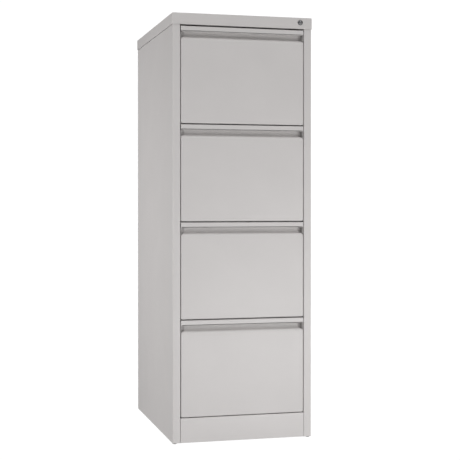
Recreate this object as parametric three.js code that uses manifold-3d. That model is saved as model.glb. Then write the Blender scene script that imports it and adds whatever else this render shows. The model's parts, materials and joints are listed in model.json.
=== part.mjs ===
// A four-drawer vertical filing cabinet in folded sheet steel.
// Millimetres. X is the width, the drawers open towards -Y, Z is up.
// The origin lies on the floor, at the centre of the whole object's box.

import * as THREE from 'three';
import { mergeVertices } from 'three/addons/utils/BufferGeometryUtils.js';
import Module from 'manifold-3d';

const wasm = await Module();
wasm.setup();

// ---------------------------------------------------------------- driving dimensions

const WIDTH = 452; // over the top cover
const COVER_DEPTH = 620; // over the top cover, without the lock
const HEIGHT = 1330;
const LOCK_PROUD = 2; // how far the lock's ring stands off the fascia
const SHEET = 1; // thickness of every folded sheet
const FOLD = 1.5; // centreline radius of a fold
const FLANGE = 18; // depth of the folds behind the plinth and the fascia
const GAP = 0.3; // between pieces that touch

const APRON = 35; // height of the cover's folded edge
const OVERHANG = 2; // cover beyond the body, on each side
const COVER_CORNER = 2.5; // radius of the cover's upright corners
const STILE = 24; // width of the front stile folded from each side panel
const STILE_RETURN = 20; // depth of the stile's fold beside the drawers
const REAR_CHANNEL = 41; // depth of the side panels' folds at the back
const FOOT_HEIGHT = 3; // floor to the carcass
const PLINTH_HEIGHT = 76.5;

const DRAWERS = 4;
const PITCH = 303; // from one drawer to the next
const FRONT_HEIGHT = 299.3;
const FRONT_WIDTH = 396;
const FIRST_FRONT = 82; // floor to the lowest drawer front
const SLIDE_LENGTH = 560; // length of every slide member

const LIP = 12; // height of the strip over the pull
const PULL = 21.5; // height of the pull's opening
const PULL_DEPTH = 20;
const PULL_ROLL = 10; // radius of the front where it rolls into the pull
const PULL_CREASE = 9.5; // radius where the pull's floor turns up into its back wall
const FRONT_FLANGE = PULL_DEPTH + 0.6; // depth of the folds behind a drawer front
const EAR_DEPTH = 5; // how far the sheet leans back beyond the end of the pull's back wall
const CHEEK_FRONT = 3.5; // from the front's face to the sheet that closes the end of the pull
const CORNER = 10; // radius of the front's upper corners below the pull
const SMALL_CORNER = 4; // radius of the front's and the lip's lower corners
const PULL_END = 13; // from the front's side to the end of the pull's back wall

const LOCK_X = 187;
const LOCK_Z = 1314.5;
const LOCK_HOLE = 7; // radius of the hole in the fascia
const CAM_THROW = 8.5; // lock axis to the cam's pin
const BAR_LIFT = 2 * CAM_THROW * Math.SQRT1_2; // from -45 to +45 degrees

// ---------------------------------------------------------------- derived planes

const COVER_FRONT = LOCK_PROUD / 2 - COVER_DEPTH / 2;
const COVER_BACK = COVER_FRONT + COVER_DEPTH;
const BODY_FRONT = COVER_FRONT + OVERHANG;
const BODY_BACK = COVER_BACK - OVERHANG;
const BODY_SIDE = WIDTH / 2 - OVERHANG;
const OPENING = BODY_SIDE - STILE; // half the width between the stiles
const BODY_TOP = HEIGHT - SHEET - 2; // clear of the cover's folds
const HALF_SHEET = SHEET / 2;

const UPRIGHT_FRONT = BODY_FRONT + 33;
const UPRIGHT_DEPTH = 30;
const BAR_FRONT = BODY_FRONT + 27.5;
const BAR_THICKNESS = 2;
const REAR_CHANNEL_FRONT = BODY_BACK - REAR_CHANNEL;
const SLIDE_FRONT = 31; // behind the drawer front's face
const SLIDE_HEIGHT = 110; // slide's middle above the front's lower edge
const TRAY_SIDE = 185.8; // middle of the tray's side sheet
const TRAY_FLOOR = 18.5;
const TRAY_TOP = 262.5;
const TRAY_FRONT = 23.1;
const TRAY_BACK = 592;
const TRAY_BACK_TOP = 180;

// ---------------------------------------------------------------- finishes

const paint = () => new THREE.MeshStandardMaterial({ color: 0xc9cac8, roughness: 0.5 });
const zinc = () => new THREE.MeshStandardMaterial({ color: 0xb9bcc0, roughness: 0.35, metalness: 1 });
const chrome = () => new THREE.MeshStandardMaterial({ color: 0x8f9296, roughness: 0.2, metalness: 1 });
const nylon = () => new THREE.MeshStandardMaterial({ color: 0x222325, roughness: 0.7 });

// ---------------------------------------------------------------- sheet outlines

/** Points with their left-hand normals along corners [u, v, radius]. */
function foldedPath(corners, steps = 3) {
  const path = [];
  const at = (i) => new THREE.Vector2(corners[i][0], corners[i][1]);
  const left = (d) => new THREE.Vector2(-d.y, d.x);
  const heading = (i) => at(i + 1).sub(at(i)).normalize();
  const last = corners.length - 1;
  path.push({ point: at(0), normal: left(heading(0)) });
  for (let i = 1; i < last; i += 1) {
    const into = heading(i - 1);
    const outOf = heading(i);
    const turn = Math.atan2(into.cross(outOf), into.dot(outOf));
    const side = Math.sign(turn);
    const radius = corners[i][2] ?? FOLD;
    const start = at(i).addScaledVector(into, -radius * Math.tan(Math.abs(turn) / 2));
    const centre = start.addScaledVector(left(into), side * radius);
    for (let k = 0; k <= steps; k += 1) {
      const normal = left(into).rotateAround(new THREE.Vector2(), (turn * k) / steps);
      path.push({ point: centre.clone().addScaledVector(normal, -side * radius), normal });
    }
  }
  path.push({ point: at(last), normal: left(heading(last - 1)) });
  return path;
}

/** The cut edge of a sheet folded along its middle line. */
function foldedSheet(corners, { thickness = SHEET, steps = 3 } = {}) {
  const path = foldedPath(corners, steps);
  const offset = (sign) => ({ point, normal }) =>
    point.clone().addScaledVector(normal, (sign * thickness) / 2);
  return new THREE.Shape([...path.map(offset(1)), ...path.map(offset(-1)).reverse()]);
}

function rectangle(u0, v0, u1, v1) {
  return new THREE.Shape([[u0, v0], [u1, v0], [u1, v1], [u0, v1]].map((p) => new THREE.Vector2(...p)));
}

function roundedRectangle(u0, v0, u1, v1, radius) {
  const shape = new THREE.Shape();
  shape.absarc(u1 - radius, v0 + radius, radius, -Math.PI / 2, 0);
  shape.absarc(u1 - radius, v1 - radius, radius, 0, Math.PI / 2);
  shape.absarc(u0 + radius, v1 - radius, radius, Math.PI / 2, Math.PI);
  shape.absarc(u0 + radius, v0 + radius, radius, Math.PI, 1.5 * Math.PI);
  shape.closePath();
  return shape;
}

function disc(u, v, radius) {
  return new THREE.Shape().absarc(u, v, radius, 0, 2 * Math.PI);
}

// ---------------------------------------------------------------- extrusions along an axis

const X = new THREE.Vector3(1, 0, 0);
const Y = new THREE.Vector3(0, 1, 0);
const Z = new THREE.Vector3(0, 0, 1);

function extrude(shape, length, curveSegments) {
  return new THREE.ExtrudeGeometry(shape, { depth: length, bevelEnabled: false, steps: 1, curveSegments });
}

/** A (y, z) outline carried from x0 to x1. */
function alongX(shape, x0, x1, curveSegments = 4) {
  const turned = new THREE.Matrix4().makeBasis(Y, Z, X);
  return extrude(shape, x1 - x0, curveSegments).applyMatrix4(turned).translate(x0, 0, 0);
}

/** An (x, z) outline carried from y0 back to y1. */
function alongY(shape, y0, y1, curveSegments = 4) {
  const turned = new THREE.Matrix4().makeBasis(X, Z, Y.clone().negate());
  return extrude(shape, y1 - y0, curveSegments).applyMatrix4(turned).translate(0, y1, 0);
}

/** An (x, y) outline carried from z0 up to z1. */
function alongZ(shape, z0, z1, curveSegments = 4) {
  return extrude(shape, z1 - z0, curveSegments).translate(0, 0, z0);
}

function block(x0, y0, z0, x1, y1, z1) {
  return alongZ(rectangle(x0, y0, x1, y1), z0, z1);
}

// ---------------------------------------------------------------- joins and cuts

function toSolid(geometry) {
  const bare = geometry.clone();
  bare.deleteAttribute('normal');
  bare.deleteAttribute('uv');
  const merged = mergeVertices(bare, 1e-4);
  return new wasm.Manifold(new wasm.Mesh({
    numProp: 3,
    vertProperties: merged.attributes.position.array,
    triVerts: new Uint32Array(merged.index.array),
  }));
}

function toGeometry(solid) {
  const mesh = solid.getMesh();
  const geometry = new THREE.BufferGeometry();
  geometry.setAttribute('position', new THREE.BufferAttribute(mesh.vertProperties, 3));
  geometry.setIndex(new THREE.BufferAttribute(mesh.triVerts, 1));
  geometry.computeVertexNormals();
  return geometry;
}

function join(...geometries) {
  return toGeometry(geometries.map(toSolid).reduce((whole, more) => whole.add(more)));
}

function cut(geometry, ...tools) {
  return toGeometry(tools.map(toSolid).reduce((whole, tool) => whole.subtract(tool), toSolid(geometry)));
}

/** The same piece on the other side of the YZ plane, its faces turned back outwards. */
function mirrored(geometry) {
  const copy = mergeVertices(geometry.clone().deleteAttribute('normal').deleteAttribute('uv'), 1e-4);
  copy.scale(-1, 1, 1);
  const { array } = copy.index;
  for (let i = 0; i < array.length; i += 3) {
    [array[i], array[i + 1]] = [array[i + 1], array[i]];
  }
  copy.computeVertexNormals();
  return copy;
}

// ---------------------------------------------------------------- the assembly's parts

const cabinet = new THREE.Group();

function piece(group, name, geometry, material) {
  const mesh = new THREE.Mesh(geometry, material);
  mesh.name = name;
  group.add(mesh);
  return mesh;
}

/** Side, front stile and rear channel in one folded sheet, seen from above. */
function sidePanel() {
  const outer = BODY_SIDE - HALF_SHEET;
  const inner = OPENING + HALF_SHEET;
  const section = foldedSheet([
    [inner, BODY_FRONT + STILE_RETURN],
    [inner, BODY_FRONT + HALF_SHEET],
    [outer, BODY_FRONT + HALF_SHEET],
    [outer, BODY_BACK - HALF_SHEET],
    [inner, BODY_BACK - HALF_SHEET],
    [inner, REAR_CHANNEL_FRONT],
  ]);
  return alongZ(section, FOOT_HEIGHT, BODY_TOP);
}

/** Flat sheet between the rear channels. */
function backPanel() {
  const side = OPENING - GAP;
  return block(-side, BODY_BACK - SHEET, FOOT_HEIGHT, side, BODY_BACK, BODY_TOP);
}

/** Shallow inverted pan, its fascia folded under between the stiles, with the lock's hole. */
function topCover() {
  const half = WIDTH / 2;
  const outer = roundedRectangle(-half, COVER_FRONT, half, COVER_BACK, COVER_CORNER);
  const inner = roundedRectangle(
    SHEET - half, COVER_FRONT + SHEET, half - SHEET, COVER_BACK - SHEET, COVER_CORNER - SHEET,
  );
  const shell = cut(
    alongZ(outer, HEIGHT - APRON, HEIGHT),
    alongZ(inner, HEIGHT - APRON - 1, HEIGHT - SHEET),
  );
  const underFold = block(
    1 - OPENING, COVER_FRONT + HALF_SHEET, HEIGHT - APRON,
    OPENING - 1, COVER_FRONT + FLANGE, HEIGHT - APRON + SHEET,
  );
  const lockHole = alongY(disc(LOCK_X, LOCK_Z, LOCK_HOLE), COVER_FRONT - 1, COVER_FRONT + 3, 10);
  return cut(join(shell, underFold), lockHole);
}

/** Kick panel between the stiles, folded back at its top and bottom. */
function plinthPanel() {
  const top = FOOT_HEIGHT + PLINTH_HEIGHT - HALF_SHEET;
  const section = foldedSheet([
    [BODY_FRONT + FLANGE, FOOT_HEIGHT + HALF_SHEET],
    [BODY_FRONT + HALF_SHEET, FOOT_HEIGHT + HALF_SHEET],
    [BODY_FRONT + HALF_SHEET, top],
    [BODY_FRONT + FLANGE, top],
  ]);
  return alongX(section, 0.7 - OPENING, OPENING - 0.7);
}

const FOOT_X = 216;
const FOOT_INSET = 12; // from the body's front or back
const FOOT_FRONT_Y = BODY_FRONT + FOOT_INSET;
const FOOT_REAR_Y = BODY_BACK - FOOT_INSET;

/** Floor sheet between the side panels, with upturned sides and clearance for the folds. */
function basePan() {
  const low = FOOT_HEIGHT + 3;
  const side = BODY_SIDE - SHEET - 1;
  const front = BODY_FRONT + SHEET + 1;
  const back = BODY_BACK - SHEET - 1;
  const floor = block(-side, front, low, side, back, low + SHEET);
  const notches = [-1, 1].flatMap((hand) => {
    const near = hand * (OPENING - 1.5);
    const far = hand * (OPENING + SHEET + 1);
    const [x0, x1] = [Math.min(near, far), Math.max(near, far)];
    return [
      block(x0, front - 1, 0, x1, BODY_FRONT + STILE_RETURN + 1.5, low + 5),
      block(x0, REAR_CHANNEL_FRONT - 1.5, 0, x1, back + 1, low + 5),
    ];
  });
  const upturned = [-1, 1].map((hand) => {
    const x = hand * (side - HALF_SHEET);
    return block(
      x - HALF_SHEET, UPRIGHT_FRONT - 8, low, x + HALF_SHEET, REAR_CHANNEL_FRONT - 4, low + 30,
    );
  });
  const footHoles = [-1, 1].flatMap((hand) => [FOOT_FRONT_Y, FOOT_REAR_Y].map((y) =>
    alongZ(disc(hand * FOOT_X, y, 3.4), 0, low + 5, 4)));
  return cut(join(floor, ...upturned), ...notches, ...footHoles);
}

/** Levelling glide: a pad on the floor with a threaded stem up through the base pan. */
function foot() {
  const profile = [
    [0, 0], [6, 0], [6.5, 0.5], [6.5, 2], [6, FOOT_HEIGHT - 0.4], [3, FOOT_HEIGHT - 0.4],
    [3, 20], [2.4, 20.6], [0, 20.6],
  ].map((p) => new THREE.Vector2(...p));
  return new THREE.LatheGeometry(profile, 20).rotateX(Math.PI / 2);
}

/** Channel inside each stile, which carries the slides; the right one guides the lock bar. */
function frontUpright(studHeights) {
  const web = OPENING + 0.7;
  const section = foldedSheet([
    [BODY_SIDE - 4, UPRIGHT_FRONT + HALF_SHEET],
    [web, UPRIGHT_FRONT + HALF_SHEET],
    [web, UPRIGHT_FRONT + UPRIGHT_DEPTH - HALF_SHEET],
    [BODY_SIDE - 4, UPRIGHT_FRONT + UPRIGHT_DEPTH - HALF_SHEET],
  ]);
  const channel = alongZ(section, 8, HEIGHT - 40);
  const studs = studHeights.map((z) => join(
    alongY(disc(BAR_MIDDLE, z, 3), BAR_FRONT - 1.4, UPRIGHT_FRONT + HALF_SHEET, 5),
    alongY(disc(BAR_MIDDLE, z, 5.2), BAR_FRONT - 2.2, BAR_FRONT - 0.6, 5),
  ));
  return studs.length ? join(channel, ...studs) : channel;
}

/** Inverted channel behind the gap between two drawers. */
function crossRail() {
  const front = 26 + HALF_SHEET;
  const back = 45 - HALF_SHEET;
  const [low, high] = [FRONT_HEIGHT - 10, FRONT_HEIGHT + 7];
  const section = foldedSheet([[front, low], [front, high], [back, high], [back, low]]);
  return alongX(section, GAP - OPENING, OPENING - GAP);
}

// ---------------------------------------------------------------- lock

const BAR_MIDDLE = OPENING + 11;
const BAR_HALF = 8;
const TAB_TOP = 209; // over the front's lower edge, at rest
const TAB_HEIGHT = 10;

function turnedAlongY(points, segments) {
  const profile = points.map((p) => new THREE.Vector2(...p));
  return new THREE.LatheGeometry(profile, segments).translate(LOCK_X, 0, 0)
    .translate(0, COVER_FRONT, LOCK_Z);
}

/** Ring on the fascia and threaded sleeve behind it, open through the middle. */
function lockBarrel() {
  return turnedAlongY([
    [5.3, -LOCK_PROUD + 0.4], [6.2, -LOCK_PROUD], [7.4, -LOCK_PROUD], [8.5, -1], [8.5, -GAP],
    [6.6, -GAP], [6.6, 21], [5.3, 21], [5.3, -LOCK_PROUD + 0.4],
  ], 28);
}

/** Turning cylinder with its keyway. */
function lockPlug() {
  const face = -LOCK_PROUD + 0.5;
  const core = turnedAlongY([[0, face], [4.6, face], [5, face + 0.4], [5, 23], [0, 23]], 24);
  const keyway = block(
    LOCK_X - 0.8, COVER_FRONT - 3, LOCK_Z - 3, LOCK_X + 0.8, COVER_FRONT + 7, LOCK_Z + 3,
  );
  return cut(core, keyway);
}

function lockNut() {
  const hexagon = new THREE.Shape(Array.from({ length: 6 }, (_, i) =>
    new THREE.Vector2(10.4, 0).rotateAround(new THREE.Vector2(), (i * Math.PI) / 3)));
  hexagon.holes.push(disc(0, 0, 6.9));
  return alongY(hexagon, 0, 4, 10).translate(LOCK_X, COVER_FRONT + SHEET + GAP, LOCK_Z);
}

/** Arm on the plug's tail with the pin that lifts the lock bar. */
function lockCam() {
  const angle = -Math.PI / 4;
  const arm = new THREE.Shape();
  arm.absarc(0, 0, 5, Math.PI / 2, 1.5 * Math.PI);
  arm.absarc(CAM_THROW, 0, 3.4, -Math.PI / 2, Math.PI / 2);
  arm.closePath();
  const front = COVER_FRONT + 23 + GAP;
  const turned = join(
    alongY(arm, front, front + 2, 6),
    alongY(disc(CAM_THROW, 0, 1.8), front + 1, BAR_FRONT + BAR_THICKNESS + 0.9, 6),
  );
  return turned.rotateY(-angle).translate(LOCK_X, 0, LOCK_Z);
}

/** Flat strip behind the right stile, with a head for the cam, a tab per drawer and guide slots. */
function lockBar(studHeights) {
  const back = BAR_FRONT + BAR_THICKNESS;
  const pinX = LOCK_X + CAM_THROW * Math.SQRT1_2;
  const pinZ = LOCK_Z - BAR_LIFT / 2;
  const strip = roundedRectangle(BAR_MIDDLE - BAR_HALF, 60, BAR_MIDDLE + BAR_HALF, pinZ + 7, 2);
  const head = roundedRectangle(pinX - 6.2, pinZ - 7, BAR_MIDDLE, pinZ + 7, 2);
  const tabs = Array.from({ length: DRAWERS }, (_, i) => {
    const top = FIRST_FRONT + i * PITCH + TAB_TOP;
    return alongY(rectangle(OPENING - 9, top - TAB_HEIGHT, BAR_MIDDLE, top), BAR_FRONT, back);
  });
  const camSlot = roundedRectangle(pinX - 2.9, pinZ - 2.4, LOCK_X + CAM_THROW + 2.4, pinZ + 2.4, 2.2);
  const guideSlots = studHeights.map((z) =>
    roundedRectangle(BAR_MIDDLE - 3.5, z - BAR_LIFT - 4, BAR_MIDDLE + 3.5, z + 4, 3.4));
  const through = (shape) => alongY(shape, BAR_FRONT - 1, back + 1, 3);
  return cut(
    join(alongY(strip, BAR_FRONT, back, 2), alongY(head, BAR_FRONT, back, 2), ...tabs),
    ...[camSlot, ...guideSlots].map(through),
  );
}

// ---------------------------------------------------------------- one drawer
// Drawn from the middle of the lower edge of its front's face.

/** Outer skin: front, rolled pull, boxed lip, side folds, and an ear at each end of the pull's back. */
function drawerFront() {
  const face = HALF_SHEET;
  const pullFloor = FRONT_HEIGHT - LIP - PULL - HALF_SHEET;
  const pullCeiling = FRONT_HEIGHT - LIP + HALF_SHEET;
  const profile = foldedSheet([
    [FRONT_FLANGE, HALF_SHEET],
    [face, HALF_SHEET],
    [face, pullFloor, PULL_ROLL],
    [PULL_DEPTH + HALF_SHEET, pullFloor, PULL_CREASE],
    [PULL_DEPTH + HALF_SHEET, pullCeiling],
    [face, pullCeiling],
    [face, FRONT_HEIGHT - HALF_SHEET],
    [FRONT_FLANGE, FRONT_HEIGHT - HALF_SHEET],
  ]);
  const half = FRONT_WIDTH / 2;
  const shoulder = pullFloor + HALF_SHEET - CORNER;
  const sideFold = (x0, x1) => block(x0, HALF_SHEET, 0.2, x1, FRONT_FLANGE, shoulder - 1);
  const skin = join(
    alongX(profile, -half, half),
    sideFold(-half, SHEET - half),
    sideFold(half - SHEET, half),
  );
  const rightCuts = [pullEnd(), roundedOff(half, 0), roundedOff(half, FRONT_HEIGHT - LIP)];
  const rightEar = pullEar();
  return join(cut(skin, ...rightCuts, ...rightCuts.map(mirrored)), rightEar, mirrored(rightEar));
}

/** End of the pull's back wall: an ear that leans back, then a cheek that comes forward beside it. */
function pullEar() {
  const wall = PULL_DEPTH + HALF_SHEET;
  const half = FRONT_WIDTH / 2;
  const end = half - PULL_END;
  const low = TRAY_TOP + 1.5;
  const ceiling = FRONT_HEIGHT - LIP + HALF_SHEET;
  const section = foldedSheet([
    [end - 4, wall],
    [end, wall],
    [half - HALF_SHEET, wall + EAR_DEPTH],
    [half - HALF_SHEET, CHEEK_FRONT],
  ]);
  const shoulder = FRONT_HEIGHT - LIP - PULL - CORNER;
  const cheekFoot = block(half - SHEET, CHEEK_FRONT, shoulder - 2, half, FRONT_FLANGE, low + 1);
  return join(alongZ(section, low, ceiling), cheekFoot);
}

/** What the rounding takes from the lower right corner at (x, z). */
function roundedOff(x, z) {
  const r = SMALL_CORNER;
  const waste = new THREE.Shape();
  waste.absarc(x - r, z + r, r, -Math.PI / 2, 0);
  waste.lineTo(x + 1, z + r);
  waste.lineTo(x + 1, z - 1);
  waste.lineTo(x - r, z - 1);
  waste.closePath();
  return alongY(waste, -1, PULL_DEPTH + 3);
}

/** What is missing at the end of the pull: the notch and the corner's rounding. */
function pullEnd() {
  const half = FRONT_WIDTH / 2;
  const ceiling = FRONT_HEIGHT - LIP;
  const floor = ceiling - PULL;
  const notch = new THREE.Shape();
  notch.moveTo(half - PULL_END, ceiling);
  notch.lineTo(half - PULL_END, floor);
  notch.absarc(half - CORNER, floor - CORNER, CORNER, Math.PI / 2, 0, true);
  notch.lineTo(half + 2, floor - CORNER);
  notch.lineTo(half + 2, ceiling);
  notch.closePath();
  return alongY(notch, -1, PULL_DEPTH + 3);
}

/** Flat sheet behind the skin, narrowed beside the pull. */
function innerPanel() {
  const front = PULL_DEPTH + SHEET + GAP;
  const half = FRONT_WIDTH / 2 - 2;
  const neck = FRONT_WIDTH / 2 - PULL_END - 2;
  const shoulder = FRONT_HEIGHT - LIP - PULL - CORNER - 2;
  const outline = new THREE.Shape([
    [-half, 3], [half, 3], [half, shoulder], [neck, shoulder], [neck, FRONT_HEIGHT - 2],
    [-neck, FRONT_HEIGHT - 2], [-neck, shoulder], [-half, shoulder],
  ].map((p) => new THREE.Vector2(...p)));
  return alongY(outline, front, front + SHEET);
}

/** Channel behind the front, open at its outer side and both ends, that the lock bar's tab enters. */
function lockCatch() {
  const front = PULL_DEPTH + 2 * SHEET + 2 * GAP + HALF_SHEET;
  const web = TRAY_SIDE + HALF_SHEET + 1.3;
  const finger = BAR_FRONT - BODY_FRONT + BAR_THICKNESS + 2.1;
  const section = foldedSheet([
    [OPENING - 4, front], [web, front, 1], [web, finger, 1], [OPENING - 2, finger],
  ], { thickness: 1.2 });
  return alongZ(section, TAB_TOP + 2, TAB_TOP + BAR_LIFT);
}

/** Floor, sides and low back in one sheet, its upper edges hemmed to carry hanging files. */
function drawerTray() {
  const hem = TRAY_SIDE - 2.5;
  const path = (hand) => [
    [hand * hem, TRAY_TOP - 6],
    [hand * hem, TRAY_TOP, 1.2],
    [hand * TRAY_SIDE, TRAY_TOP, 1.2],
    [hand * TRAY_SIDE, TRAY_FLOOR],
  ];
  const trough = alongY(foldedSheet([...path(-1), ...path(1).reverse()]), TRAY_FRONT, TRAY_BACK);
  const wall = foldedSheet([
    [TRAY_BACK - 12, TRAY_BACK_TOP],
    [TRAY_BACK - HALF_SHEET, TRAY_BACK_TOP],
    [TRAY_BACK - HALF_SHEET, TRAY_FLOOR],
  ]);
  return join(trough, alongX(wall, -TRAY_SIDE, TRAY_SIDE));
}

/** C-section of a slide member: web at x, flanges reaching to tip. */
function slideMember(webX, tipX, halfHeight, thickness) {
  const h = halfHeight - thickness / 2;
  const corners = [[tipX, h], [webX, h, 1.2], [webX, -h, 1.2], [tipX, -h]];
  const section = foldedSheet(corners.map(([x, z, r]) => [x, z + SLIDE_HEIGHT, r]), { thickness, steps: 2 });
  return alongY(section, SLIDE_FRONT, SLIDE_FRONT + SLIDE_LENGTH);
}

const SLIDES = {
  outer: slideMember(OPENING - 1.1, OPENING - 11, 22.5, 1.3),
  middle: slideMember(OPENING - 4.4, OPENING - 10, 18, 1.2),
  inner: slideMember(OPENING - 12.4, OPENING - 6.5, 12.6, 1.2),
};

function addDrawer(number) {
  const drawer = new THREE.Group();
  drawer.position.set(0, BODY_FRONT, FIRST_FRONT + (number - 1) * PITCH);
  const name = (what) => `drawer_${number}_${what}`;
  piece(drawer, name('front'), drawerFront(), paint());
  piece(drawer, name('inner_panel'), innerPanel(), paint());
  piece(drawer, name('tray'), drawerTray(), paint());
  piece(drawer, name('lock_catch'), lockCatch(), zinc());
  for (const [member, geometry] of Object.entries(SLIDES)) {
    piece(drawer, name(`left_${member}_slide`), mirrored(geometry), zinc());
    piece(drawer, name(`right_${member}_slide`), geometry, zinc());
  }
  cabinet.add(drawer);
}

// ---------------------------------------------------------------- put together

piece(cabinet, 'left_side_panel', mirrored(sidePanel()), paint());
piece(cabinet, 'right_side_panel', sidePanel(), paint());
piece(cabinet, 'back_panel', backPanel(), paint());
piece(cabinet, 'top_cover', topCover(), paint());
piece(cabinet, 'plinth_panel', plinthPanel(), paint());
piece(cabinet, 'base_pan', basePan(), paint());

for (const [side, hand] of [['left', -1], ['right', 1]]) {
  for (const [end, y] of [['front', FOOT_FRONT_Y], ['rear', FOOT_REAR_Y]]) {
    piece(cabinet, `${end}_${side}_foot`, foot(), nylon()).position.set(hand * FOOT_X, y, 0);
  }
}

const STUD_HEIGHTS = [150, 700, 1240]; // pins the lock bar slides on
piece(cabinet, 'left_front_upright', mirrored(frontUpright([])), paint());
piece(cabinet, 'right_front_upright', frontUpright(STUD_HEIGHTS), paint());

for (let number = 1; number < DRAWERS; number += 1) {
  piece(cabinet, `front_cross_rail_${number}`, crossRail(), paint())
    .position.set(0, BODY_FRONT, FIRST_FRONT + (number - 1) * PITCH);
}

piece(cabinet, 'lock_barrel', lockBarrel(), chrome());
piece(cabinet, 'lock_plug', lockPlug(), chrome());
piece(cabinet, 'lock_nut', lockNut(), zinc());
piece(cabinet, 'lock_cam', lockCam(), zinc());
piece(cabinet, 'lock_bar', lockBar(STUD_HEIGHTS), zinc());

for (let number = 1; number <= DRAWERS; number += 1) {
  addDrawer(number);
}

export default cabinet;
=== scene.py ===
"""The looks of a four-drawer filing cabinet in powder-coated sheet steel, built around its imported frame.
Lengths inside this script are millimetres; mesh_object() turns them into the frame's metres."""

import json
import math

import bmesh
import bpy
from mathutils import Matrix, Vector

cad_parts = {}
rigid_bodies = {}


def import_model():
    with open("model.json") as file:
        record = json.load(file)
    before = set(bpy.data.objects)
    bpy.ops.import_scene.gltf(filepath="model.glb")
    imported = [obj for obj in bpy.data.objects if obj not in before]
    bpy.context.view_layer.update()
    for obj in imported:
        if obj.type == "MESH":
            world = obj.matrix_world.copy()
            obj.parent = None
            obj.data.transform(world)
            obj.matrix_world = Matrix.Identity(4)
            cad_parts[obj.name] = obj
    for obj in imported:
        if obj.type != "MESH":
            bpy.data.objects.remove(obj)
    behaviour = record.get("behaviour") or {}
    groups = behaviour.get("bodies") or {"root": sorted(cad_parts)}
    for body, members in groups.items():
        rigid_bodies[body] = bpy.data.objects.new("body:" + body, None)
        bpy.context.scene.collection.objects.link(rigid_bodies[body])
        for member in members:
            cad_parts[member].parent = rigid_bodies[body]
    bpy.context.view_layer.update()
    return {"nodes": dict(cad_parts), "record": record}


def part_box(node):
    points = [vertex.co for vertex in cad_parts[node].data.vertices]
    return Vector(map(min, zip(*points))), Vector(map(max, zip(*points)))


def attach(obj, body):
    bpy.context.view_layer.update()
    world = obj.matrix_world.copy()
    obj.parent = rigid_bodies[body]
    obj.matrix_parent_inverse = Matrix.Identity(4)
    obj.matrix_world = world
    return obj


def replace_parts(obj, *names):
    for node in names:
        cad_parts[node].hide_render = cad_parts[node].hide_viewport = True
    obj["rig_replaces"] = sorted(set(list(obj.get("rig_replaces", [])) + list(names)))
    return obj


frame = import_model()

MM = 0.001
SHEET = 1.0
FOLD = 1.5  # centreline radius of a fold
FOLD_STEPS = 7
DRAWERS = range(1, 5)
HANDS = {"left": -1, "right": 1}


def node_box(node):
    """Lowest and highest corner of a CAD node, in millimetres."""
    low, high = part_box(node)
    return low / MM, high / MM


# ---------------------------------------------------------------- meshes


def mesh_object(name, points, faces):
    """A mesh from points in millimetres, its doubled points merged and its faces turned outwards."""
    mesh = bpy.data.meshes.new(name)
    mesh.from_pydata([Vector(p) * MM for p in points], [], faces)
    work = bmesh.new()
    work.from_mesh(mesh)
    bmesh.ops.remove_doubles(work, verts=work.verts, dist=1e-7)
    bmesh.ops.recalc_face_normals(work, faces=work.faces)
    work.to_mesh(mesh)
    work.free()
    mesh.shade_smooth()
    piece = bpy.data.objects.new(name, mesh)
    bpy.context.scene.collection.objects.link(piece)
    return piece


def ring_faces(first, second, count):
    """Quads between two closed rows of points that start at these indices."""
    return [
        (first + i, first + (i + 1) % count, second + (i + 1) % count, second + i)
        for i in range(count)
    ]


def strip_faces(first, second):
    """Quads between two open rows of indices."""
    return [(first[i], first[i + 1], second[i + 1], second[i]) for i in range(len(first) - 1)]


# Where a point (u, v) of a section lies when it is carried to w along each axis.
PLACE = {
    "X": lambda u, v, w: (w, u, v),
    "Y": lambda u, v, w: (u, w, v),
    "Z": lambda u, v, w: (u, v, w),
}


def left_of(heading):
    """A heading turned a quarter turn to the left."""
    return Vector((-heading.y, heading.x))


def folded_path(corners, fold=FOLD, steps=FOLD_STEPS):
    """Points and left-hand normals along corners (u, v) or (u, v, radius)."""
    places = [Vector(c[:2]) for c in corners]
    headings = [(b - a).normalized() for a, b in zip(places, places[1:])]
    path = [(places[0], left_of(headings[0]))]
    for corner, place, into, out in zip(corners[1:], places[1:], headings, headings[1:]):
        radius = corner[2] if len(corner) > 2 else fold
        turn = math.atan2(into.cross(out), into.dot(out))
        side = math.copysign(1, turn)
        start = place - into * radius * math.tan(abs(turn) / 2)
        centre = start + left_of(into) * side * radius
        for k in range(steps + 1):
            a = turn * k / steps
            normal = left_of(Vector((
                into.x * math.cos(a) - into.y * math.sin(a),
                into.x * math.sin(a) + into.y * math.cos(a),
            )))
            path.append((centre - normal * side * radius, normal))
    path.append((places[-1], left_of(headings[-1])))
    return path


def folded_sheet(name, corners, axis, low, high, thickness=SHEET, fold=FOLD, steps=FOLD_STEPS):
    """A sheet folded along its middle line and carried along an axis, closed all round."""
    path = folded_path(corners, fold, steps)
    place = PLACE[axis]
    points = []
    for point, normal in path:
        for side, end in ((1, low), (-1, low), (-1, high), (1, high)):
            at = point + normal * side * thickness / 2
            points.append(place(at.x, at.y, end))
    faces = [(0, 1, 2, 3)]
    for i in range(len(path) - 1):
        a, b = 4 * i, 4 * i + 4
        faces += [(a + k, a + (k + 1) % 4, b + (k + 1) % 4, b + k) for k in range(4)]
    last = 4 * len(path) - 4
    faces.append((last + 3, last + 2, last + 1, last))
    return mesh_object(name, points, faces)


def prism(name, outline, axis, low, high):
    """An outline of (u, v) points carried along an axis."""
    place = PLACE[axis]
    n = len(outline)
    points = [place(u, v, w) for w in (low, high) for u, v in outline]
    faces = [tuple(range(n)), tuple(range(n, 2 * n))]
    faces += [(i, (i + 1) % n, n + (i + 1) % n, n + i) for i in range(n)]
    return mesh_object(name, points, faces)


def arc(cu, cv, radius, start, end, steps):
    """Points on an arc, its angles in degrees."""
    turns = [math.radians(start + (end - start) * k / steps) for k in range(steps + 1)]
    return [(cu + radius * math.cos(a), cv + radius * math.sin(a)) for a in turns]


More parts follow.
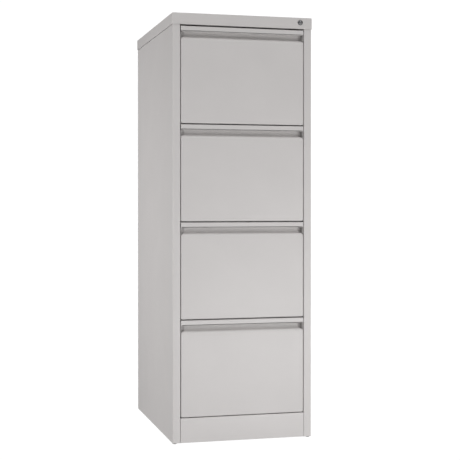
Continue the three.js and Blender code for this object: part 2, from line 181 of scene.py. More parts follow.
def slot_outline(cu, cv, half_u, half_v, steps=6):
    """A round-ended slot, or a disc where both halves are alike."""
    r = min(half_u, half_v)
    du, dv = half_u - r, half_v - r
    return (
        arc(cu + du, cv - dv, r, -90, 0, steps) + arc(cu + du, cv + dv, r, 0, 90, steps)
        + arc(cu - du, cv + dv, r, 90, 180, steps) + arc(cu - du, cv - dv, r, 180, 270, steps)
    )


def lathe(name, profile, centre, axis, segments=48):
    """A profile of (radius, along) points turned about an axis through centre."""
    place = PLACE[axis]
    points, faces = [], []
    for k in range(segments):
        a = 2 * math.pi * k / segments
        for r, along in profile:
            points.append(Vector(place(r * math.cos(a), r * math.sin(a), along)) + Vector(centre))
    n = len(profile)
    for k in range(segments):
        here, there = k * n, (k + 1) % segments * n
        faces += [(here + i, here + i + 1, there + i + 1, there + i) for i in range(n - 1)]
    return mesh_object(name, points, faces)


def baked(piece):
    """The piece with its modifiers made real."""
    graph = bpy.context.evaluated_depsgraph_get()
    mesh = bpy.data.meshes.new_from_object(piece.evaluated_get(graph))
    piece.modifiers.clear()
    piece.data = mesh
    return piece


def combine(piece, tools, operation):
    """Joins the tools to the piece or cuts them from it, and removes them."""
    for tool in tools:
        step = piece.modifiers.new("combine", "BOOLEAN")
        step.operation = operation
        step.solver = "EXACT"
        step.object = tool
    baked(piece)
    for tool in tools:
        bpy.data.objects.remove(tool)
    piece.data.shade_smooth()
    return piece


def one_object(pieces, name):
    """Several pieces that don't touch, as one object."""
    work = bmesh.new()
    for piece in pieces:
        work.from_mesh(piece.data)
    first = pieces[0]
    work.to_mesh(first.data)
    work.free()
    first.data.shade_smooth()
    for piece in pieces[1:]:
        bpy.data.objects.remove(piece)
    first.name = name
    return first


def thickened(piece):
    """An open skin given a sheet's thickness on its inner side."""
    step = piece.modifiers.new("sheet", "SOLIDIFY")
    step.thickness = SHEET * MM
    step.offset = -1
    step.use_even_offset = True
    baked(piece)
    piece.data.shade_smooth()
    return piece


def softened(piece, width=0.2, segments=2, angle=32):
    """Small rounds on the piece's sharp edges."""
    edge = piece.modifiers.new("edge", "BEVEL")
    edge.width = width * MM
    edge.segments = segments
    edge.limit_method = "ANGLE"
    edge.angle_limit = math.radians(angle)
    edge.harden_normals = True
    return piece


def settle(piece, body, slot, replaces=(), material=None):
    """Gives a finished piece its material and its place in the frame."""
    piece.data.materials.clear()
    piece.data.materials.append(material or FINISHES[slot])
    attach(piece, body)
    if replaces:
        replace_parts(piece, *replaces)
    return piece


# ---------------------------------------------------------------- materials


def set_range(node, limits):
    for key, number in zip(("From Min", "From Max", "To Min", "To Max"), limits):
        node.inputs[key].default_value = number


class Nodes:
    """A Principled material with helpers that add procedural detail to it."""

    def __init__(self, name, color, roughness, metallic=0.0):
        self.material = bpy.data.materials.new(name)
        self.material.use_nodes = True
        self.tree = self.material.node_tree
        self.shader = self.tree.nodes["Principled BSDF"]
        self.shader.inputs["Base Color"].default_value = (*color, 1)
        self.shader.inputs["Roughness"].default_value = roughness
        self.shader.inputs["Metallic"].default_value = metallic
        self.place = self.add("ShaderNodeTexCoord").outputs["Object"]

    def add(self, kind):
        return self.tree.nodes.new(kind)

    def link(self, out, into):
        self.tree.links.new(out, into)

    def stretched(self, scale):
        """Object coordinates scaled apart on each axis."""
        node = self.add("ShaderNodeMapping")
        node.inputs["Scale"].default_value = scale
        self.link(self.place, node.inputs["Vector"])
        return node.outputs["Vector"]

    def noise(self, scale, detail=2.0, rough=0.5, vector=None):
        node = self.add("ShaderNodeTexNoise")
        node.inputs["Scale"].default_value = scale
        node.inputs["Detail"].default_value = detail
        node.inputs["Roughness"].default_value = rough
        self.link(vector or self.place, node.inputs["Vector"])
        return node.outputs["Fac"]

    def ramp(self, value, low, high, color_low, color_high):
        """A colour between two, as the value goes from low to high."""
        node = self.add("ShaderNodeValToRGB")
        first, last = node.color_ramp.elements
        first.position, last.position = low, high
        first.color, last.color = (*color_low, 1), (*color_high, 1)
        self.link(value, node.inputs["Fac"])
        return node.outputs["Color"]

    def span(self, value, *limits):
        """The value mapped between limits: from low, from high, to low, to high."""
        node = self.add("ShaderNodeMapRange")
        set_range(node, limits)
        self.link(value, node.inputs["Value"])
        return node.outputs["Result"]

    def bump(self, *layers):
        """Layers of (height, distance in millimetres), laid on one another."""
        normal = None
        for height, distance in layers:
            node = self.add("ShaderNodeBump")
            node.inputs["Strength"].default_value = 1.0
            node.inputs["Distance"].default_value = distance * MM
            self.link(height, node.inputs["Height"])
            if normal:
                self.link(normal, node.inputs["Normal"])
            normal = node.outputs["Normal"]
        self.link(normal, self.shader.inputs["Normal"])


def mixed(color, share):
    """A darker or lighter tone of a colour."""
    return tuple(c * share for c in color)


def powder_coat(name, color):
    """Satin powder coat: orange peel, faint clouding in tone and gloss."""
    nodes = Nodes(name, color, 0.42)
    cloud = nodes.noise(9, 4, 0.55)
    nodes.link(
        nodes.ramp(cloud, 0.3, 0.7, mixed(color, 0.985), mixed(color, 1.012)),
        nodes.shader.inputs["Base Color"],
    )
    gloss = nodes.span(nodes.noise(260, 3), 0.3, 0.7, 0.38, 0.47)
    nodes.link(gloss, nodes.shader.inputs["Roughness"])
    nodes.bump((nodes.noise(420, 2, 0.5), 0.035), (nodes.noise(1500, 1, 0.5), 0.006))
    return nodes.material


def zinc_plate(name, color, stretch=(900, 40, 900), roughness=(0.24, 0.38)):
    """Rolled steel with bright zinc: fine drawing lines and a mottled passivation."""
    nodes = Nodes(name, color, 0.3, 1.0)
    lines = nodes.noise(1, 3, 0.6, nodes.stretched(stretch))
    mottle = nodes.noise(55, 4, 0.6)
    nodes.link(
        nodes.ramp(mottle, 0.32, 0.68, mixed(color, 0.9), mixed(color, 1.06)),
        nodes.shader.inputs["Base Color"],
    )
    nodes.link(nodes.span(lines, 0.3, 0.7, *roughness), nodes.shader.inputs["Roughness"])
    nodes.bump((lines, 0.004))
    return nodes.material


def turned_metal(name, color, roughness):
    """Machined and polished metal with a faint haze."""
    nodes = Nodes(name, color, roughness, 1.0)
    haze = nodes.noise(300, 4, 0.6)
    nodes.link(
        nodes.span(haze, 0.3, 0.7, roughness * 0.75, roughness * 1.35), nodes.shader.inputs["Roughness"]
    )
    nodes.link(
        nodes.ramp(haze, 0.3, 0.7, mixed(color, 0.85), mixed(color, 1.1)),
        nodes.shader.inputs["Base Color"],
    )
    nodes.bump((nodes.noise(2500, 2), 0.002))
    return nodes.material


def moulded_nylon(name, color):
    """Moulded plastic with a fine grain."""
    nodes = Nodes(name, color, 0.55)
    grain = nodes.noise(1200, 3, 0.6)
    nodes.link(nodes.span(grain, 0.3, 0.7, 0.45, 0.7), nodes.shader.inputs["Roughness"])
    nodes.link(
        nodes.ramp(nodes.noise(90), 0.3, 0.7, mixed(color, 0.8), mixed(color, 1.3)),
        nodes.shader.inputs["Base Color"],
    )
    nodes.bump((grain, 0.02))
    return nodes.material


GREY = (0.572, 0.5515, 0.5445)
PAINT = powder_coat("light_grey_powder_coat", GREY)
SLIDE_ZINC = zinc_plate("slide_zinc", (0.66, 0.67, 0.69))
BAR_ZINC = zinc_plate("bar_zinc", (0.58, 0.59, 0.6), (900, 900, 40), (0.3, 0.46))
BALL_STEEL = turned_metal("ball_steel", (0.72, 0.73, 0.75), 0.12)
LOCK_RING = turned_metal("lock_ring_metal", (0.24, 0.24, 0.245), 0.26)
LOCK_FACE = turned_metal("lock_face_metal", (0.4, 0.4, 0.41), 0.3)
NYLON = moulded_nylon("black_nylon", (0.02, 0.02, 0.022))
FINISHES = {
    "body_paint": PAINT, "drawer_paint": PAINT, "slide_zinc": SLIDE_ZINC, "zinc": BAR_ZINC,
    "lock_ring": LOCK_RING, "lock_face": LOCK_FACE, "feet": NYLON,
}


# ---------------------------------------------------------------- camera, light and floor


def add_camera():
    """Camera a little over half the cabinet's height, left of its front."""
    data = bpy.data.cameras.new("camera")
    data.sensor_width = 36
    data.lens = 87.69
    data.shift_y = -0.035
    camera = bpy.data.objects.new("camera", data)
    bpy.context.scene.collection.objects.link(camera)
    camera.location = (-0.9255, -3.6841, 0.7431)
    camera.rotation_euler = (math.radians(90 - 0.534), 0, -math.radians(14.663))
    bpy.context.scene.camera = camera


def soft_light(name, place, target, size, power):
    """A rectangular soft box that no camera sees."""
    data = bpy.data.lights.new(name, "AREA")
    data.shape = "RECTANGLE"
    data.size, data.size_y = size
    data.energy = power
    light = bpy.data.objects.new(name, data)
    light.location = place
    light.rotation_euler = (Vector(target) - Vector(place)).to_track_quat("-Z", "Y").to_euler()
    light.visible_camera = False
    bpy.context.scene.collection.objects.link(light)


def only_seen_by_camera(piece):
    """Paper white behind the cabinet that neither lights it nor mirrors in it."""
    piece.visible_diffuse = False
    piece.visible_glossy = False
    piece.visible_shadow = False
    nodes = Nodes("white_paper", (0, 0, 0), 1.0)
    nodes.shader.inputs["Specular IOR Level"].default_value = 0
    nodes.shader.inputs["Emission Color"].default_value = (1, 1, 1, 1)
    nodes.shader.inputs["Emission Strength"].default_value = 1.05
    piece.data.materials.append(nodes.material)


def add_floor():
    half = 14000
    corners = [(-half, -half, 0), (half, -half, 0), (half, half, 0), (-half, half, 0)]
    only_seen_by_camera(mesh_object("floor", corners, [(0, 1, 2, 3)]))


def add_backdrop():
    """A tall round wall of white paper all the way round."""
    steps, radius, foot, top, peak = 48, 9000, -10, 14000, 16500
    ring = [
        (radius * math.cos(math.tau * step / steps), radius * math.sin(math.tau * step / steps))
        for step in range(steps)
    ]
    points = [(x, y, z) for z in (foot, top) for x, y in ring]
    points.append((0, 0, peak))
    roof = [(steps + step, steps + (step + 1) % steps, 2 * steps) for step in range(steps)]
    backdrop = mesh_object("backdrop", points, ring_faces(0, steps, steps) + roof)
    only_seen_by_camera(backdrop)


def add_world():
    """Soft light from the front, most of it above and some below, with dim sides."""
    world = bpy.data.worlds.new("studio")
    world.use_nodes = True
    tree = world.node_tree
    background = tree.nodes["Background"]
    direction = tree.nodes.new("ShaderNodeSeparateXYZ")
    tree.links.new(tree.nodes.new("ShaderNodeTexCoord").outputs["Generated"], direction.inputs[0])

    def share(axis, *limits):
        node = tree.nodes.new("ShaderNodeMapRange")
        node.interpolation_type = "SMOOTHSTEP"
        set_range(node, limits)
        tree.links.new(direction.outputs[axis], node.inputs["Value"])
        return node.outputs["Result"]

    def joined(operation, first, second):
        node = tree.nodes.new("ShaderNodeMath")
        node.operation = operation
        tree.links.new(first, node.inputs[0])
        tree.links.new(second, node.inputs[1])
        return node.outputs[0]

    above = share("Z", 0.19, 0.5, 0.0, 1.31)
    below = share("Z", -0.5, -0.19, 0.9, 0.0)
    sides = joined("ADD", share("Y", -0.5, 0.3, 1.0, 0.0), share("X", -0.8, -0.3, 0.3, 0.0))
    high_light = joined("MULTIPLY", above, sides)
    low_light = joined("MULTIPLY", below, share("Y", -0.5, 0.3, 1.0, 0.8))
    total = joined("ADD", high_light, low_light)
    background.inputs["Color"].default_value = (1, 1, 1, 1)
    tree.links.new(total, background.inputs["Strength"])
    bpy.context.scene.world = world
    bpy.context.scene.view_settings.view_transform = "Standard"


add_camera()
add_world()
add_floor()
add_backdrop()
soft_light("side_light", (-2.0, 0.2, 0.65), (-0.22, 0.1, 0.6), (0.8, 0.6), 21)
soft_light("low_fill", (0.4, -1.8, 0.1), (0, -0.3, 0.3), (1.4, 0.3), 6)
soft_light("middle_fill", (0.9, -2.2, 0.4), (0, -0.3, 0.35), (0.9, 0.5), 5)
soft_light("front_fill", (-0.6, -3.9, 1.1), (0, -0.3, 0.6), (1, 1), 9.6)


# ---------------------------------------------------------------- carcass


def side_panel(side, hand):
    """Side, front stile and rear channel, folded from one sheet, with a shadow line under the cover."""
    node = f"{side}_side_panel"
    low, high = node_box(node)
    seam = node_box("top_cover")[0].z
    inner, outer = sorted((abs(low.x), abs(high.x)))
    half = SHEET / 2
    stile_return, rear_channel = 20, 41
    corners = [
        (inner + half, low.y + stile_return), (inner + half, low.y + half), (outer - half, low.y + half),
        (outer - half, high.y - half), (inner + half, high.y - half), (inner + half, high.y - rear_channel),
    ]
    piece = folded_sheet(node + "_sheet", [(hand * x, y) for x, y in corners], "Z", low.z, high.z)
    near, far = sorted((hand * (outer - 1.6), hand * (outer + 1)))
    front, back = low.y + 3, high.y - 3
    line = [(near, front), (far, front), (far, back), (near, back)]
    combine(piece, [prism("shadow_line", line, "Z", seam - 0.9, seam + 0.2)], "DIFFERENCE")
    settle(softened(piece), "carcass", "body_paint", [node])


def back_panel():
    """Flat sheet with pressed swages, riveted to the rear channels."""
    low, high = node_box("back_panel")
    swages = [(x, 8, 2) for x in (-100, 0, 100)]
    across = {low.x, high.x}
    for x, half, _ in swages:
        across |= {x + side * width for width in (half, half - 1, half - 3, 0) for side in (-1, 1)}
    across = sorted(across)
    ends = (low.z + 90, high.z - 90)
    upwards = {low.z, high.z}
    upwards |= {ends[0] + k * 4 for k in range(5)}
    upwards |= {ends[1] - k * 4 for k in range(5)}
    upwards = sorted(upwards)

    def pressed(x, z):
        """How far the sheet is pressed in at a place."""
        depth = 0
        for centre, half, deepest in swages:
            share = min(1, max(0, (half - abs(x - centre)) / 3))
            run = min(1, max(0, (z - ends[0]) / 16), max(0, (ends[1] - z) / 16))
            depth = max(depth, deepest * share * share * (3 - 2 * share) * run)
        return depth

    points = [(x, high.y - pressed(x, z), z) for z in upwards for x in across]
    n = len(across)
    faces = [
        (r * n + c, r * n + c + 1, (r + 1) * n + c + 1, (r + 1) * n + c)
        for r in range(len(upwards) - 1) for c in range(n - 1)
    ]
    skin = mesh_object("back_panel_sheet", points, faces)
    if skin.data.polygons[0].normal.y < 0:
        skin.data.flip_normals()
    thickened(skin)
    settle(softened(skin, 0.2, 2, 50), "carcass", "body_paint", ["back_panel"])

    head = [(0.01, 0.9), (1.4, 0.75), (2.4, 0.35), (2.9, 0.0), (2.9, -0.3)]
    first, spacing = low.z + 40, (high.z - low.z - 80) / 9
    rivets = [
        lathe("rivet", head, (x, high.y, first + k * spacing), "Y", 16)
        for x in (low.x + 9, high.x - 9) for k in range(10)
    ]
    settle(one_object(rivets, "back_panel_rivets"), "carcass", "body_paint")


def rounded_pan(name, half_x, front, back, low, high, corner=3.0, fold=2.4, steps=7):
    """The outer skin of an inverted pan: a flat top, a rolled edge all round and walls down to low."""
    outline = []
    for cx, cy, start in (
        (half_x - corner, front + corner, -90), (half_x - corner, back - corner, 0),
        (corner - half_x, back - corner, 90), (corner - half_x, front + corner, 180),
    ):
        for k in range(steps + 1):
            a = math.radians(start + 90 * k / steps)
            normal = Vector((math.cos(a), math.sin(a)))
            outline.append((Vector((cx, cy)) + normal * corner, normal))
    points, faces = [], []
    for k in range(steps + 1):
        a = math.pi / 2 * k / steps
        for at, normal in outline:
            flat = at - normal * fold * (1 - math.sin(a))
            points.append((flat.x, flat.y, high - fold * (1 - math.cos(a))))
    points += [(at.x, at.y, low) for at, _ in outline]
    n = len(outline)
    faces.append(tuple(range(n)))
    for row in range(steps + 1):
        faces += ring_faces(row * n, (row + 1) * n, n)
    return mesh_object(name, points, faces)


def top_cover():
    """Inverted pan with its fascia folded under between the stiles and a hole for the lock."""
    low, high = node_box("top_cover")
    shell = thickened(rounded_pan("top_cover_sheet", high.x, low.y, high.y, low.z, high.z))
    reach = node_box("drawer_1_front")[1].x + 1
    front, back = low.y + 0.5, low.y + 18
    under = [(front, low.z), (back, low.z), (back, low.z + SHEET), (front, low.z + SHEET)]
    combine(shell, [prism("under_fold", under, "X", -reach, reach)], "UNION")
    ring_low, ring_high = node_box("lock_barrel")
    centre = (ring_low + ring_high) / 2
    hole = prism("hole", slot_outline(centre.x, centre.z, 7, 7, 10), "Y", low.y - 2, low.y + 4)
    combine(shell, [hole], "DIFFERENCE")
    settle(softened(shell), "carcass", "body_paint", ["top_cover"])


def plinth():
    """Flat panel with its upper and lower edges folded back."""
    low, high = node_box("plinth_panel")
    half = SHEET / 2
    corners = [
        (high.y, low.z + half), (low.y + half, low.z + half),
        (low.y + half, high.z - half), (high.y, high.z - half),
    ]
    piece = folded_sheet("plinth_sheet", corners, "X", low.x, high.x)
    settle(softened(piece), "carcass", "body_paint", ["plinth_panel"])


def foot(node):
    """Levelling glide: a nylon pad under a threaded stem."""
    low, high = node_box(node)
    centre = ((low.x + high.x) / 2, (low.y + high.y) / 2, 0)
    pad = [
        (0.01, 0), (5.6, 0), (6.1, 0.15), (6.4, 0.5), (6.5, 1),
        (6.5, 1.7), (6.3, 2.2), (5.9, 2.5), (3.2, 2.6),
    ]
    stem = [(3, 2.7)]
    pitch = 1.0
    for turn in range(17):
        start = 3.2 + turn * pitch
        stem += [(3, start), (2.5, start + 0.4), (2.5, start + 0.6), (3, start + pitch)]
    stem += [(2.4, high.z), (0.01, high.z)]
    settle(lathe(node + "_glide", pad + stem, centre, "Z", 40), "carcass", "feet", [node])


def front_upright(side, hand):
    """Channel that carries the slides, with a ladder of slots for their hooks."""
    node = f"{side}_front_upright"
    low, high = node_box(node)
    inner, outer = sorted((abs(low.x), abs(high.x)))
    front = high.y - 30
    half = SHEET / 2
    corners = [
        (hand * outer, front + half), (hand * (inner + half), front + half),
        (hand * (inner + half), high.y - half), (hand * outer, high.y - half),
    ]
    channel = folded_sheet(node + "_sheet", corners, "Z", low.z, high.z)
    middle = (front + high.y) / 2
    slots = []
    height = low.z + 30
    while height < high.z - 20:
        outline = slot_outline(middle, height, 2.5, 6)
        slots.append(prism("slot", outline, "X", *sorted((hand * (inner - 2), hand * (inner + 3)))))
        height += 25
    combine(channel, [one_object(slots, "slots")], "DIFFERENCE")
    settle(softened(channel), "carcass", "body_paint", [node])
    if side == "right":
        turned = [(0.01, -2.2), (4.4, -2.2), (5.0, -1.9), (5.2, -1.5), (5.2, -0.7), (3, -0.6), (3, 6)]
        studs = [
            lathe("stud", turned, (inner + 10.3, front - 5.5, z), "Y", 32) for z in (150, 700, 1240)
        ]
        settle(one_object(studs, "lock_bar_studs"), "carcass", "zinc")


def cross_rail(node):
    """Inverted channel between the uprights."""
    low, high = node_box(node)
    half = SHEET / 2
    corners = [
        (low.y + half, low.z), (low.y + half, high.z - half),
        (high.y - half, high.z - half), (high.y - half, low.z),
    ]
    piece = folded_sheet(node + "_sheet", corners, "X", low.x, high.x)
    settle(softened(piece), "carcass", "body_paint", [node])


for side, hand in HANDS.items():
    side_panel(side, hand)
    front_upright(side, hand)
    for end in ("front", "rear"):
        foot(f"{end}_{side}_foot")
back_panel()
top_cover()
plinth()
for number in range(1, 4):
    cross_rail(f"front_cross_rail_{number}")


# ---------------------------------------------------------------- lock


def lock():
    """Rolled ring and dished plug with its keyway."""
    low, high = node_box("lock_barrel")
    centre = ((low.x + high.x) / 2, low.y, (low.z + high.z) / 2)
    fascia = node_box("top_cover")[0].y - low.y
    ring = [(5.3, 0.9), (5.5, 0.35), (6.0, 0.05), (6.7, 0)]
    ring += [(6.7 + 1.8 * math.sin(a), 1.7 - 1.7 * math.cos(a)) for a in (0.4, 0.8, 1.2, math.pi / 2)]
    seat, end = fascia - 0.3, high.y - low.y
    ring += [(8.5, seat), (6.6, seat), (6.6, end), (5.3, end), (5.3, 0.9)]
    settle(lathe("lock_barrel_ring", ring, centre, "Y", 64), "carcass", "lock_ring", ["lock_barrel"])

    front, back = (corner.y - low.y for corner in node_box("lock_plug"))
    face = [
        (0.01, front + 0.5), (2.6, front + 0.5), (3.3, front + 0.25),
        (3.7, front), (4.5, front), (5, front + 0.45),
    ]
    plug = lathe("lock_plug_turned", face + [(5, back), (0.01, back)], centre, "Y", 48)
    x, _, z = centre
    keyway = prism("keyway", slot_outline(x, z, 0.8, 3, 4), "Y", low.y - 1, low.y + 9)
    ward = prism("ward", slot_outline(x + 0.7, z + 0.9, 0.9, 0.5, 4), "Y", low.y - 1, low.y + 9)
    combine(plug, [keyway, ward], "DIFFERENCE")
    settle(softened(plug, 0.12), "lock_rotor", "lock_face", ["lock_plug"])


lock()


# ---------------------------------------------------------------- drawer fronts


class Front:
    """Measures of one drawer front in its own frame: x across, y back from its face, z up from its foot."""

    lip = 16.3
    pull = 17.2  # height of the recess under the lip
    depth = 20.0  # of the recess
    wall = 20.6  # depth of the folded walls
    roll = 10.0  # radius of the rolled edge under the recess
    crease = 9.0  # radius where the rolled edge meets the recess's back
    corner = 10.0
    small_corner = 4.5
    fold = 2.0
    lip_fold = 1.3
    seam_low, seam_high = 1.0, 2.7  # of the seam, over the lip's lower edge
    wall_end = 185.0  # half the width of the recess's back

    def __init__(self, number):
        low, high = node_box(f"drawer_{number}_front")
        self.low = low
        self.half = high.x
        self.height = high.z - low.z
        self.sill = self.height - self.lip - self.pull
        self.lip_z = self.height - self.lip

    def outline(self, steps, columns):
        """Points, normals, fold radii and wall depths round the pan, then along its rolled edge."""
        loop = []
        shallow = self.roll + 0.6
        top = Vector((self.half - self.corner, self.sill - self.corner))
        foot = Vector((self.half - self.small_corner, self.small_corner))
        deep, shoulder = (self.fold, self.wall), (self.roll, shallow)
        for centre, radius, start, before, after in (
            (top, self.corner, 90, shoulder, deep), (foot, self.small_corner, 0, deep, deep),
            (Vector((-foot.x, foot.y)), self.small_corner, -90, deep, deep),
            (Vector((-top.x, top.y)), self.corner, -180, deep, shoulder),
        ):
            for k in range(steps + 1):
                share = k / steps
                a = math.radians(start - 90 * share)
                normal = Vector((math.cos(a), math.sin(a)))
                fold, wall = (b + (e - b) * share for b, e in zip(before, after))
                loop.append((centre + normal * radius, normal, fold, wall))
        for k in range(1, columns):
            at = Vector((-top.x + 2 * top.x * k / columns, self.sill))
            loop.append((at, Vector((0, 1)), self.roll, shallow))
        return loop

    def pull_rows(self):
        """(y, z) up the pull from the roll's crest to the edge of its ceiling."""
        rows = arc(self.depth - self.crease, self.sill + self.crease, self.crease, -90, 0, 9)
        return rows + arc(self.depth - 1, self.lip_z - 1, 1, 0, 90, 3)

    def lip_rows(self):
        """(y, z) out along the ceiling, up the lip and back over it."""
        rows = arc(self.lip_fold, self.lip_z + self.lip_fold, self.lip_fold, -90, -180, 7)
        rows += [(0, self.lip_z + self.lip_fold + 3.2 * k / 4) for k in range(1, 5)]
        rows += arc(self.fold, self.height - self.fold, self.fold, 180, 90, 7)
        return rows + [(self.wall, self.height)]

    def lip_half(self, z):
        """Half the lip's width, less towards its foot, where its ends are rounded."""
        rise = max(0.0, self.small_corner - (z - self.lip_z))
        return self.half - self.small_corner + math.sqrt(max(0.0, self.small_corner**2 - rise**2))


def front_skin(number):
    """Folded pan whose upper edge rolls back into the pull, and the pull's back and seamed lip over it."""
    f = Front(number)
    steps, columns, side_columns = 8, 16, 3
    loop = f.outline(steps, columns)
    n = len(loop)
    points, faces = [], [tuple(range(n))]
    for k in range(steps + 1):
        a = math.pi / 2 * k / steps
        for at, normal, fold, _ in loop:
            flat = at - normal * fold * (1 - math.sin(a))
            points.append((flat.x, fold * (1 - math.cos(a)), flat.y))
    for row in range(steps):
        faces += ring_faces(row * n, (row + 1) * n, n)
    rim = steps * n
    roll_start = n - columns
    walls = len(points)
    points += [(at.x, wall, at.y) for at, _, _, wall in loop[:roll_start + 1]]
    faces += strip_faces(range(rim, rim + roll_start + 1), range(walls, walls + roll_start + 1))

    def add_row(xs, y, z):
        points.extend((x, y, z) for x in xs)
        return range(len(points) - len(xs), len(points))

    previous = [rim + (roll_start + k) % n for k in range(columns + 1)]
    first_half = f.half - f.corner
    pull_rows = f.pull_rows()
    for r, (y, z) in enumerate(pull_rows[:-1]):
        reach = first_half + (f.wall_end - first_half) * min(1, r / 8)
        row = add_row([reach * (2 * k / columns - 1) for k in range(columns + 1)], y, z)
        faces += strip_faces(previous, row)
        previous = row
    for y, z in pull_rows[-1:] + f.lip_rows():
        core = [f.wall_end * (2 * k / columns - 1) for k in range(columns + 1)]
        overhang = f.lip_half(z) - f.wall_end
        beyond = [f.wall_end + overhang * k / side_columns for k in range(1, side_columns + 1)]
        row = add_row([-x for x in reversed(beyond)] + core + beyond, y, z)
        joint = row if len(previous) == len(row) else row[side_columns:-side_columns]
        faces += strip_faces(previous, joint)
        previous = row

    points = [(x, f.low.y + y, f.low.z + z) for x, y, z in points]
    skin = mesh_object(f"drawer_{number}_front_skin", points, faces)
    if skin.data.polygons[0].normal.y > 0:
        skin.data.flip_normals()
    thickened(skin)
    front, foot = f.low.y, f.low.z + f.lip_z
    seam = [
        (front - 1, foot + f.seam_low), (front + 1.6, foot + f.seam_low),
        (front + 1.6, foot + f.seam_high), (front - 1, foot + f.seam_high),
    ]
    reach = f.half - 3
    combine(skin, [prism("seam", seam, "X", -reach, reach)], "DIFFERENCE")
    settle(softened(skin, 0.2, 2, 40), f"drawer_{number}", "drawer_paint", [f"drawer_{number}_front"])


def inner_panel(number):
    """Flat inner skin, narrowed beside the pull."""
    node = f"drawer_{number}_inner_panel"
    low, high = node_box(node)
    f = Front(number)
    foot, top = low.z - f.low.z, high.z - f.low.z
    neck, shoulder, radius = f.wall_end - 2, f.sill - f.corner - 2, 4
    outline = [(high.x, foot), (high.x, shoulder)]
    outline += arc(neck + radius, shoulder + radius, radius, -90, -180, 6)
    outline += arc(neck - radius, top - radius, radius, 0, 90, 6)
    outline += [(-x, z) for x, z in reversed(outline)]
    panel = prism(node + "_sheet", [(x, z + f.low.z) for x, z in outline], "Y", low.y, high.y)
    settle(softened(panel), f"drawer_{number}", "drawer_paint", [node])


def pull_ears(number):
    """An ear that leans back beyond each end of the pull's back wall, and the cheek that closes the end."""
    f = Front(number)
    wall = f.depth + SHEET / 2
    cheek = f.half - SHEET / 2
    cheek_front, lean = 3.5, 3.9
    section = [
        (f.wall_end - 1, wall + 1), (f.wall_end, wall + 1), (cheek, wall + 1 + lean), (cheek, cheek_front),
    ]
    foot = [(cheek, wall), (cheek, cheek_front)]
    for side, hand in HANDS.items():
        pieces = [
            folded_sheet(
                f"drawer_{number}_{side}_pull_{name}", [(hand * x, f.low.y + y) for x, y in corners], "Z",
                f.low.z + low, f.low.z + high,
            )
            for name, corners, low, high in (
                ("cheek", section, f.sill - 2, f.lip_z + 0.4),
                ("cheek_foot", foot, f.sill - f.corner - 1, f.sill - 2),
            )
        ]
        ear = one_object(pieces, f"drawer_{number}_{side}_pull_ear")
        settle(softened(ear), f"drawer_{number}", "drawer_paint")


# ---------------------------------------------------------------- trays and slides


def tray(number):
    """Floor, hemmed sides and low back, with slots in the floor for a file block."""
    node = f"drawer_{number}_tray"
    low, high = node_box(node)
    half = SHEET / 2
    side, top, floor = high.x - half, high.z - half, low.z + half
    hem, hem_drop, hem_fold = 2.5, 6, 1.2
    right = [
        (side - hem, top - hem_drop), (side - hem, top, hem_fold), (side, top, hem_fold), (side, floor),
    ]
    left = [(-corner[0], *corner[1:]) for corner in right]
    trough = folded_sheet(node + "_sheet", left + right[::-1], "Y", low.y, high.y)
    back_top = low.z + 162
    back = [(high.y - 12, back_top), (high.y - half, back_top), (high.y - half, floor)]
    combine(trough, [folded_sheet("wall", back, "X", -side, side)], "UNION")
    slots = [
        prism("slot", slot_outline(x, low.y + 60 + k * 40, 2.2, 12, 4), "Z", floor - 2, floor + 2)
        for x in (-60, 60) for k in range(12)
    ]
    combine(trough, [one_object(slots, "slots")], "DIFFERENCE")
    settle(softened(trough), f"drawer_{number}", "drawer_paint", [node])


def slide_member(number, side, member, thickness, body):
    """C-section member, its web at the cabinet's side or, on the inner one, at the drawer's."""
    node = f"drawer_{number}_{side}_{member}_slide"
    low, high = node_box(node)
    hand = HANDS[side]
    near, far = sorted((abs(low.x), abs(high.x)))
    half = thickness / 2
    web, tip = (near + half, far) if member == "inner" else (far - half, near)
    bend = 1.2
    corners = [
        (hand * tip, high.z - half), (hand * web, high.z - half, bend),
        (hand * web, low.z + half, bend), (hand * tip, low.z + half),
    ]
    piece = folded_sheet(node + "_section", corners, "Y", low.y, high.y, thickness, steps=5)
    middle = (low.z + high.z) / 2
    reach = sorted((hand * (web - 3), hand * (web + 3)))
    length = high.y - low.y
    holes = [
        prism("hole", slot_outline(low.y + share * length, middle, half_length, 2.6), "X", *reach)
        for share, half_length in ((0.06, 2.6), (0.3, 7), (0.55, 2.6), (0.8, 7), (0.96, 2.6))
    ]
    combine(piece, [one_object(holes, "holes")], "DIFFERENCE")
    settle(softened(piece, 0.15), body, "slide_zinc", [node])


def ball(centre, radius, segments=14, rings=9):
    """A bearing ball, turned from half a circle."""
    profile = [
        (max(0.01, radius * math.sin(math.pi * k / rings)), -radius * math.cos(math.pi * k / rings))
        for k in range(rings + 1)
    ]
    return lathe("ball", profile, centre, "Y", segments)


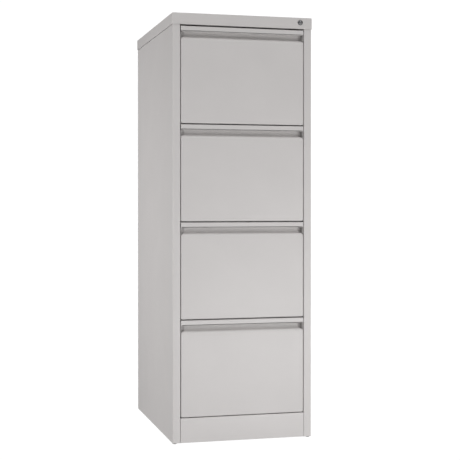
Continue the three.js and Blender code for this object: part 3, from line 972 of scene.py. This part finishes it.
def ball_cages(number, side, body):
    """Two rows of balls in strips at each end of the middle member, where its neighbours overlap it."""
    hand = HANDS[side]
    low, high = node_box(f"drawer_{number}_{side}_middle_slide")
    middle = (low.z + high.z) / 2
    spans = (
        ("outer", 19.6, 1.5, 194.0, high.y - 150, high.y - 8),
        ("inner", 14.7, 2.0, 192.0, low.y + 8, low.y + 150),
    )
    for member, rise, radius, x, start, end in spans:
        balls, strips = [], []
        near, far, spacing = hand * (x - 2.6), hand * (x + 2.2), (end - start - 20) / 6
        for z in (middle - rise, middle + rise):
            balls += [ball((hand * x, start + 10 + k * spacing, z), radius) for k in range(7)]
            strip = [(near, z - 0.4), (far, z - 0.4), (far, z + 0.4), (near, z + 0.4)]
            strips.append(prism("strip", strip, "Y", start, end))
        name = f"drawer_{number}_{side}_{member}"
        settle(one_object(balls, name + "_balls"), body, "slide_zinc", material=BALL_STEEL)
        settle(softened(one_object(strips, name + "_cages"), 0.1), body, "zinc")


def lock_catch(number):
    """Channel open outwards, for the lock bar's tab."""
    node = f"drawer_{number}_lock_catch"
    low, high = node_box(node)
    thickness = 1.2
    half = thickness / 2
    corners = [
        (high.x - 2, low.y + half), (low.x + half, low.y + half, 1), (low.x + half, high.y - half, 1),
        (high.x, high.y - half),
    ]
    piece = folded_sheet(node + "_section", corners, "Z", low.z, high.z, thickness)
    settle(softened(piece), f"drawer_{number}", "zinc", [node])


for number in DRAWERS:
    front_skin(number)
    pull_ears(number)
    inner_panel(number)
    tray(number)
    lock_catch(number)
    for side in HANDS:
        middle_body = f"drawer_{number}_middle_members"
        slide_member(number, side, "outer", 1.3, "carcass")
        slide_member(number, side, "middle", 1.2, middle_body)
        slide_member(number, side, "inner", 1.2, f"drawer_{number}")
        ball_cages(number, side, middle_body)


# ---------------------------------------------------------------- nodes that keep their shape


def dress_remaining_nodes():
    """The base pan, lock nut, cam and bar: rounded edges and the finish of their slot."""
    replaced = {name for piece in bpy.data.objects for name in piece.get("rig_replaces", [])}
    slots = {entry["node"]: entry["material_slot"] for entry in frame["record"]["subparts"]}
    for name, node in frame["nodes"].items():
        if name not in replaced:
            node.data.materials.clear()
            node.data.materials.append(FINISHES[slots[name]])
            softened(node, 0.2, 2, 35)


dress_remaining_nodes()
